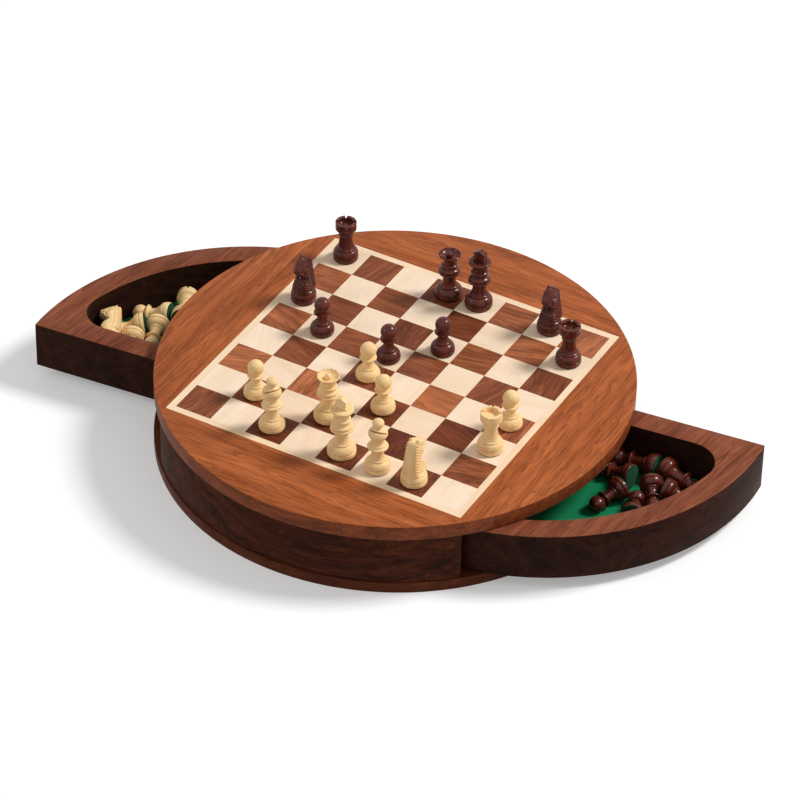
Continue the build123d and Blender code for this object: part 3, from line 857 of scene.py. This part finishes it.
profiles = {
    "pawn": foot(7.85, 4.5, 8.3, 3.4) + [
        (12.4, 3.15, -0.1), (14.5, 3.2), (15.0, 4.9, -0.2), (15.4, 5.4, 0.2), (16.1, 5.3, 0.3),
        (16.6, 3.3), (17.2, 3.1), (21.3, 5.2, 0.235), (24.98, 3.68, 0.2), (26.5, 0.0, 0.2),
    ],
    "rook": foot(8.3, 5.9, 8.9, 3.7) + [
        (13.6, 4.5, -0.1), (18.6, 4.2, -0.05), (19.0, 4.75, 0.2), (19.7, 4.75, 0.3), (20.1, 4.4),
        (23.4, 6.3, -0.2), (23.9, 6.9, 0.1), (28.8, 6.95), (29.2, 6.7, 0.2), (29.2, 4.75),
        (28.9, 4.6), (26.2, 4.5), (26.0, 4.2), (26.0, 0.0),
    ],
    "bishop": foot(8.3, 5.0, 8.6, 3.8) + [
        (13.0, 3.8, -0.1), (16.6, 3.8, -0.04), (17.1, 6.0, -0.2), (17.5, 6.5, 0.2), (18.5, 6.4, 0.3),
        (19.0, 5.4), (19.3, 5.2), (20.2, 4.9, 0.3), (20.6, 4.2), (22.4, 3.7, -0.1), (23.4, 3.8),
        (26.2, 5.7, 0.16), (28.0, 6.05, 0.2), (30.6, 4.8, 0.14), (32.6, 2.6, 0.08), (33.0, 2.3),
        (35.0, 3.6, 0.3), (37.2, 2.9, 0.3), (38.3, 0.0, 0.25),
    ],
    "queen": foot(9.1, 5.4, 9.1, 4.1) + [
        (13.4, 4.2, -0.1), (18.0, 4.0, -0.03), (18.5, 6.5, -0.2), (18.9, 7.1, 0.2), (19.9, 7.0, 0.3),
        (20.3, 6.0), (20.6, 6.0), (21.1, 6.5, 0.2), (22.1, 6.3, 0.3), (22.7, 5.3), (24.5, 4.9, -0.1),
        (24.8, 5.4, 0.2), (25.6, 5.4, 0.4), (26.0, 4.8), (28.2, 4.8, -0.05), (29.4, 5.3),
        (32.3, 7.0, -0.1), (33.0, 7.15, 0.3), (33.3, 6.7, 0.1), (31.8, 5.4, -0.1), (30.8, 3.2, -0.12),
        (30.8, 1.7), (32.3, 2.2, 0.35), (34.5, 0.0, 0.4),
    ],
    "king": foot(9.1, 5.6, 9.5, 4.2) + [
        (13.8, 4.3, -0.1), (18.7, 4.1, -0.03), (19.2, 6.6, -0.2), (19.6, 7.2, 0.2), (20.6, 7.1, 0.3),
        (21.0, 6.1), (21.3, 6.1), (21.8, 6.6, 0.2), (22.9, 6.3, 0.3), (23.5, 5.4), (26.0, 4.9, -0.1),
        (26.3, 5.5, 0.2), (27.3, 5.5, 0.4), (27.7, 4.8), (30.2, 4.75, -0.05), (31.2, 5.1),
        (33.4, 7.0, -0.16), (34.2, 7.3, 0.25), (34.9, 7.1, 0.25), (35.3, 6.2, 0.1), (35.5, 5.0),
        (35.5, 0.0),
    ],
    "knight": foot(8.3, 6.4, 8.4, 3.8) + [(9.1, 6.0), (9.1, 0.0)],
}
slots_of = {
    "rook": {"Slots": 4, "Slot_Width": 1.3 * mm, "Slot_Depth": 1.8 * mm, "Slot_Length": 5 * mm,
             "Slot_Radius": 5.6 * mm, "Top": 29.2 * mm},
    "queen": {"Slots": 12, "Slot_Width": 0.75 * mm, "Slot_Depth": 0.95 * mm, "Slot_Length": 3.4 * mm,
              "Slot_Radius": 6.9 * mm, "Top": 33.4 * mm},
}

# %% [markdown]
# ## The officers' cuts
#
# After turning, two heads get a saw or a knife. The bishop's mitre has one slanting cut, made
# with a plain slab that Blender's Boolean takes away. The king carries a flat block under a
# gable, with two notches in each side that leave the arms of a blunt cross.

# %% Cuts


def prism(name, outline, half_depth, place=Matrix.Identity(4)):
    """A closed block with the outline (x, z) in millimetres, drawn out both ways along Y."""
    form = bmesh.new()
    near, far = (
        [form.verts.new((x * mm, y * mm, z * mm)) for x, z in outline]
        for y in (-half_depth, half_depth)
    )
    form.faces.new(near)
    form.faces.new(far[::-1])
    strip(form, far, near)
    bmesh.ops.recalc_face_normals(form, faces=form.faces)
    bmesh.ops.transform(form, matrix=place, verts=form.verts)
    return mesh_of(form, name)


def cut_away(mesh, cutter, name):
    holder, tool = in_scene(name, mesh), in_scene("tool", cutter)
    cut = holder.modifiers.new("cut", "BOOLEAN")
    cut.operation, cut.solver, cut.object = "DIFFERENCE", "EXACT", tool
    result = plain_mesh(holder, name)
    bpy.data.objects.remove(tool)
    return outward_faces(result)


def mitre_cut(height=28.9, rise=30, kerf=0.8, inner=-0.3, reach=9.0):
    """A slab that starts at the bishop's axis and rises towards his front, which is -Y."""
    slab = [(inner, -kerf / 2), (reach, -kerf / 2), (reach, kerf / 2), (inner, kerf / 2)]
    rising = Matrix.Translation((0, 0, height * mm)) @ turned_by(-rise, "Y")
    return prism("mitre_saw", slab, reach, turned_by(-90) @ rising)


def king_finial(half_width=4.1, half_depth=2.2, notch=1.5, notch_half=0.75, edge=0.14):
    eaves, ridge = 41.4, 43.58
    side = [(half_width, 35.2)]
    for height in (37.4, 39.8):
        side += [(half_width, height - notch_half), (half_width - notch, height)]
        side += [(half_width, height + notch_half)]
    side += [(half_width, eaves)]
    outline = side + [(0, ridge)] + [(-x, z) for x, z in reversed(side)]
    form = bmesh.new()
    form.from_mesh(prism("finial", outline, half_depth))
    bmesh.ops.bevel(
        form, geom=form.edges[:], offset=edge * mm, segments=2, affect="EDGES", clamp_overlap=True
    )
    return mesh_of(form, "finial")


# %% [markdown]
# ## The knight's head
#
# The knight is carved, not turned. Seen from the side it is a clear outline: a straight back
# with a notched mane, two ears, a long flat forehead, the muzzle and the throat. The head is
# made from that outline. Its flat side is filled with a fine net of points, and each point is
# pushed out to the head's half thickness there, which falls away towards the edges and dips in
# the carved lines. The same net mirrored gives the other side, and a strip joins the two.

# %% Outline of the head


def softened(corners, steps=4):
    """A closed outline whose corners are rounded off, each by its own length."""
    line = []
    for i, (*_, length) in enumerate(corners):
        before, here, after = (Vector(corners[j % len(corners)][:2]) for j in (i - 1, i, i + 1))
        start, end = (
            here + (far - here).normalized() * min(length, (far - here).length * 0.48)
            for far in (before, after)
        )
        for step in range(steps + 1):
            s = step / steps
            line.append(start * (1 - s) ** 2 + here * 2 * s * (1 - s) + end * s * s)
    return line


def resampled(line, spacing):
    points = []
    for one, other in zip(line, line[1:] + line[:1]):
        count = max(1, round((other - one).length / spacing))
        points += [one.lerp(other, k / count) for k in range(count)]
    return points


head_corners = [
    (-6.0, 8.8, 0.3), (-6.5, 12.5, 2), (-6.1, 17.5, 2), (-5.5, 22.0, 2), (-4.9, 27.2, 2),
    (-4.3, 30.8, 0.6), (-2.9, 32.3, 0.5), (-1.9, 31.9, 0.3), (-0.9, 33.9, 0.2), (0.6, 32.0, 0.4),
    (1.4, 31.7, 0.5), (8.6, 28.3, 0.5), (9.2, 26.9, 0.4), (9.0, 25.0, 0.5), (7.6, 24.2, 0.5),
    (5.6, 22.3, 1), (3.6, 20.6, 1), (1.9, 19.3, 0.6), (3.8, 17.2, 1.2), (5.4, 14.4, 2),
    (5.9, 11.5, 1.5), (5.8, 8.8, 0.3),
]
head_line = resampled(softened(head_corners), 0.36)
head_edges = list(zip(head_line, head_line[1:] + head_line[:1]))


def clamped(share):
    return max(0.0, min(1.0, share))


def to_outline(spot):
    """Distance from a point to the head's outline, in millimetres."""
    best = 1e9
    for one, other in head_edges:
        edge = other - one
        share = clamped((spot - one).dot(edge) / max(edge.length_squared, 1e-9))
        best = min(best, (spot - one - edge * share).length)
    return best


def between(value, low, high):
    """0 up to the low end, 1 from the high end on, and a smooth rise between them."""
    share = clamped((value - low) / (high - low))
    return share * share * (3 - 2 * share)


def table(value, rows):
    """The measure at a height, read off between the rows (height, measure) of a table."""
    for (low, one), (high, other) in zip(rows, rows[1:]):
        if value <= high:
            return one + (other - one) * max(0.0, (value - low) / (high - low))
    return rows[-1][1]


# %% Carving of the head
widths = [(8.8, 6.0), (11, 5.8), (17, 4.9), (22, 4.4), (27, 4.1), (31, 3.8), (34, 3.3)]
backs = [
    (8.8, -6.0), (12.5, -6.5), (17.5, -6.1), (22.0, -5.5), (27.2, -4.9), (31.2, -4.3), (34, -2.0),
]
MANE = (10.5, 32.2, 1.95)  # from, to and pitch of the mane's notches
CHEST = (9.6, 18.8, 2.3)  # the same of the chest's
THROAT, EAR_FOOT = 19.5, 31.8
EYE, NOSTRIL, CHEEK, EAR = (3.0, 28.6), (7.9, 27.3), (2.2, 24.8), (-0.6, 32.2)


def groove(distance, width, depth):
    return -depth * exp(-((distance / width) ** 2))


def notch(place, pitch):
    """A row of notches: 1 in the middle of each and 0 between them."""
    return 0.5 + 0.5 * cos(2 * pi * place / pitch)


def half_width(spot, inward):
    """Half the head's thickness at a point of its side, with the carving in it."""
    x, z = spot
    full = table(z, widths)
    if z > THROAT:
        full *= 1 - 0.3 * between(x, 1.5, 8.8)
    full = min(full, sqrt(max(1.0, (7.4 + 0.9 * max(0.0, z - 9)) ** 2 - x * x)))
    from_back = x - table(z, backs)
    edge = min(0.4 if from_back < 2.0 or z > 27.5 else 1.5, full - 0.5)
    if inward < edge:
        full += sqrt(max(0.0, edge**2 - (edge - inward) ** 2)) - edge
    if MANE[0] < z < MANE[1]:
        full -= notch(z + 0.8 * from_back, MANE[2]) ** 2 * (1 - between(from_back, 2.4, 4.4))
        full += groove(from_back - 4.6, 0.35, 0.35)
    if x > 2.2 and CHEST[0] < z < CHEST[1]:
        slant = z - 0.9 * full + 0.8 * (5.8 - x)
        full -= 0.6 * notch(slant, CHEST[2]) ** 3 * between(x, 2.2, 3.4)
    eye = hypot(x - EYE[0], z - EYE[1])
    full += groove(eye - 1.0, 0.32, 0.55) + 0.35 * exp(-((eye / 0.7) ** 2))
    if x > 5.2:
        full += groove(z - 26.0 - 0.12 * (x - 8), 0.36, 0.7)  # the mouth
    full += groove(hypot(x - NOSTRIL[0], z - NOSTRIL[1]), 0.5, 0.7)
    if z > 20:
        cheek = hypot(x - CHEEK[0], z - CHEEK[1])
        full += 0.5 * exp(-((cheek / 2.0) ** 2))
        full += groove(cheek - 3.1, 0.4, 0.45) * between(x, 0.4, 2.0)
    full += groove(hypot(x - EAR[0], z - EAR[1]), 0.6, 0.4)
    return max(full, 0.25)


def over_the_edge(x, z, half, share):
    """A point of the strip that joins both sides, at a share of the half thickness."""
    dip = push = 0.0
    if z > EAR_FOOT and x > -1.9:
        dip = min(2.1, z - EAR_FOOT) * (1 - between(abs(share), 0.25, 0.7))
    if x > 1.9 and z < THROAT:
        push = 0.9 * between(THROAT - z, 0, 3) * (1 - share * share) - 0.3
        if 10 < z < 18.5:
            push -= 0.8 * notch(z - 0.9 * abs(share) * half, CHEST[2]) ** 3
    elif x > 2.5:
        push = 0.35 * (1 - share * share)
    return Vector((x + push, share * half, z - dip)) * mm


# %% Knight's head as a mesh


def is_inside(spot):
    crossings = 0
    for one, other in head_edges:
        if (one.y > spot.y) != (other.y > spot.y):
            crossings += spot.x < one.x + (other.x - one.x) * (spot.y - one.y) / (other.y - one.y)
    return crossings % 2 == 1


def knight_head(spacing=0.42, margin=0.22, rows=72, columns=44, corner=(-8, 8.5), row_step=0.87):
    """The head as a mesh. Its net has staggered rows of points, counted from the low back corner."""
    inside = []
    for row in range(rows):
        for column in range(columns):
            across = corner[0] + spacing * (column + 0.5 * (row % 2))
            spot = Vector((across, corner[1] + spacing * row * row_step))
            if is_inside(spot) and to_outline(spot) > margin:
                inside.append(spot)
    count = len(head_line)
    loop = [(i, (i + 1) % count) for i in range(count)]
    points, _, faces, *_ = delaunay_2d_cdt(head_line + inside, loop, [], 1, 1e-5)
    pushed = [(spot.x, spot.y, half_width(spot, to_outline(spot))) for spot in points]
    form = bmesh.new()
    near, far = (
        [form.verts.new((x * mm, side * h * mm, z * mm)) for x, z, h in pushed] for side in (-1, 1)
    )
    for face in faces:
        form.faces.new([near[i] for i in face])
        form.faces.new([far[i] for i in face][::-1])
    rim = []
    for i in range(count):
        between_them = [form.verts.new(over_the_edge(*pushed[i], step / 5)) for step in range(-4, 5)]
        rim.append([near[i], *between_them, far[i]])
    for one, other in zip(rim, rim[1:] + rim[:1]):
        strip(form, one, other, closed=False)
    bmesh.ops.recalc_face_normals(form, faces=form.faces)
    return mesh_of(form, "knight_head")


head = knight_head()
print("knight's head has", len(head.polygons), "faces")

# %% [markdown]
# ## Setting out the pieces
#
# Each kind of piece is made once and then copied to its places. A copy carries its wood's
# `blank` attribute, shifted by a different amount for each piece, so that no two show the same
# grain. The foot under each is a disc of felt, with the magnet standing in the wood above it.

# %% Kinds of piece


def joined(name, meshes):
    """Several meshes as one, their own places kept."""
    form = bmesh.new()
    for mesh in meshes:
        form.from_mesh(mesh)
    return mesh_of(form, name)


def with_blank(mesh):
    attribute = mesh.attributes.new("blank", "FLOAT_VECTOR", "POINT")
    for vertex in mesh.vertices:
        attribute.data[vertex.index].vector = vertex.co
    return mesh


kinds = {}
for kind, points in profiles.items():
    mesh = turned_mesh(kind, points, None, **slots_of.get(kind, {}))
    if kind == "bishop":
        mesh = cut_away(mesh, mitre_cut(), kind)
    if kind in ("king", "knight"):
        mesh = joined(kind, [mesh, king_finial() if kind == "king" else head])
    kinds[kind] = with_blank(mesh)
    print(kind, len(mesh.polygons), "faces,", round(max(v.co.z for v in mesh.vertices) / mm, 1), "mm")

foot_radii = {"pawn": 7.85, "officer": 8.3, "royal": 9.1}
size_of = {"pawn": "pawn", "queen": "royal", "king": "royal"}
size_of |= dict.fromkeys(("rook", "knight", "bishop"), "officer")
feet = {}
for kind, radius in foot_radii.items():
    rim, flat = radius - 0.62, radius - 0.75
    felt = turned_mesh(
        f"{kind}_felt",
        [(0, 0), (0, flat), (0.12, rim, 0.2), (0.42, rim), (0.52, flat, 0.2), (0.52, 0)],
        foot_felt,
    )
    magnet = turned_mesh(
        f"{kind}_magnet",
        [(0.85, 0), (0.85, 2.2), (1.0, 2.35), (3.7, 2.35), (3.85, 2.2), (3.85, 0)],
        round_steel,
    )
    both = joined(f"{kind}_foot", [felt, magnet])
    give(both, foot_felt, round_steel)
    split = len(felt.polygons)
    for face in both.polygons:
        face.material_index = int(face.index >= split)
    feet[kind] = both

# %% [markdown]
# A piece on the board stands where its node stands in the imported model, and turns to the
# heading seen in the photograph. Every piece can be lifted off the board, so each rides on its
# own body.

# %% Pieces on the board


def piece_copy(mesh, name, place, chance):
    copy = mesh.copy()
    copy.name = name
    copy.transform(place)
    if "blank" in copy.attributes:
        shift = Vector([chance.uniform(-0.5, 0.5) for axis in range(3)])
        for entry in copy.attributes["blank"].data:
            entry.vector = Vector(entry.vector) + shift
    return copy


headings = {
    "white_bishop_c1": 60, "white_bishop_f1": 8, "white_knight": 90, "white_rook": 20,
    "black_rook_a8": 30, "black_knight_a6": -90, "black_knight_g8": -90, "black_rook_h7": 15,
}
standing = [n[:-5] for n in sorted(nodes) if n.endswith("_base")]
for number, name in enumerate(standing):
    kind = name.split("_")[1]
    low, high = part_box(f"{name}_base")
    place = Matrix.Translation(((low.x + high.x) / 2, (low.y + high.y) / 2, low.z))
    place = place @ turned_by(headings.get(name, 0))
    chance = random.Random(number)
    light = name.startswith("white")
    wood, slot = (boxwood, "light_piece") if light else (stained_wood, "dark_piece")
    mesh = piece_copy(kinds[kind], f"{name}_wood", place, chance)
    finished(f"{name}_wood", mesh, wood, f"{name}_body", [name])
    mesh = piece_copy(feet[size_of[kind]], f"{name}_felt", place, chance)
    finished(f"{name}_felt", mesh, None, f"{name}_body", [f"{name}_base"])
print(len(standing), "pieces stand on the board")

# %% [markdown]
# The captured pieces lie in the trays as they were dropped. Each is placed by the middle of its
# foot and by where its head points, measured in the closed right-hand tray, and tipped until its
# head touches the felt. The tray's swing then carries it to where it lies now.

# %% Pieces in the trays
PIN_RADIUS = 3 * mm
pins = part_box("pivot_pins")[1]
PIN = Vector((pins.x - PIN_RADIUS, -(pins.y - PIN_RADIUS), 0))
LINING_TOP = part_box("right_lining")[1].z / mm
HOLLOW_CORNER, HOLLOW_DEPTH = 23.617, 111.999
FLAT_TRIM = 2 / (1 + 1 / cos(pi / 8))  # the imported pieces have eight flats
swings = {"right": (0, 38.6), "left": (180, 39.8)}
rolls = {"knight": 90}
RIM_HEIGHT, LIFT_OFF = 3, 0.15  # of the foot's widest ring, and of a piece above the felt
heads = {"pawn": (21.4, 5.2), "rook": (29.2, 6.9), "bishop": (28.0, 6.0), "knight": (34.0, 2.9)}


def lying(side, kind, x, y, heading, lift=0.0, dip=None):
    turn, opened = swings[side]
    rim, (height, radius) = foot_radii[size_of[kind]], heads[kind]
    slope = atan2(rim - radius, height - RIM_HEIGHT)
    axis_height = (rim * cos(slope) + RIM_HEIGHT * sin(slope)) * FLAT_TRIM + lift
    tilt = slope if dip is None else radians(dip)
    pin = Matrix.Translation(PIN)
    swing = turned_by(turn) @ pin @ turned_by(-opened) @ pin.inverted()
    level = LINING_TOP + LIFT_OFF + axis_height
    centre = Vector((HOLLOW_CORNER + x * HOLLOW_DEPTH, y * HOLLOW_DEPTH, level)) * mm
    aimed = Matrix.Translation(centre) @ turned_by(heading)
    laid = Matrix.Rotation(pi / 2 + tilt, 4, "Y") @ turned_by(rolls.get(kind, 0))
    return swing @ aimed @ laid


in_trays = {
    "stored_dark_bishops": ("right", "bishop", [(0.5268, 0.4170, 220), (0.5353, 0.4415, 26)]),
    "stored_dark_pawns": ("right", "pawn", [
        (0.6161, 0.3313, 340), (0.7031, 0.3679, 40), (0.6027, 0.1589, 290), (0.5473, 0.2509, 214),
        (0.8580, 0.1063, 147.3),
    ]),
    "stored_light_knight": ("left", "knight", [(0.6170, 0.5690, 332, 4.6, -4.5)]),
    "stored_light_rook": ("left", "rook", [(0.7339, 0.0705, 335)]),
    "stored_light_pawns": ("left", "pawn", [
        (0.7688, 0.2875, 74), (0.8089, 0.1170, 54), (0.7116, 0.3795, 153), (0.7714, 0.2071, 150),
    ]),
}
under = {"right": [], "left": []}
for number, (node, (side, kind, places)) in enumerate(in_trays.items()):
    chance = random.Random(100 + number)
    copies = []
    for place in places:
        matrix = lying(side, kind, *place)
        copies.append(piece_copy(kinds[kind], "copy", matrix, chance))
        under[side].append(piece_copy(feet[size_of[kind]], "copy", matrix, chance))
    wood, slot = (stained_wood, "dark_piece") if side == "right" else (boxwood, "light_piece")
    name = node.replace("stored", "fallen")
    finished(name, joined(name, copies), wood, f"{side}_tray_body", [node])
    print(name, len(copies), "lying")
for side, node in (("right", "stored_dark_bases"), ("left", "stored_light_bases")):
    name = node.replace("stored", "fallen")
    mesh = joined(name, under[side])
    give(mesh, foot_felt, round_steel)
    finished(name, mesh, None, f"{side}_tray_body", [node])

# %% [markdown]
# ## Size
#
# The dressed box is set against the imported one, and how far it has grown at each corner is
# printed.

# %% Compare and finish
low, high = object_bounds()
print("grown by", [round((a - b) / mm, 2) for a, b in zip(high, cad_high)], "mm at the high corner")
print("grown by", [round((b - a) / mm, 2) for a, b in zip(low, cad_low)], "mm at the low corner")
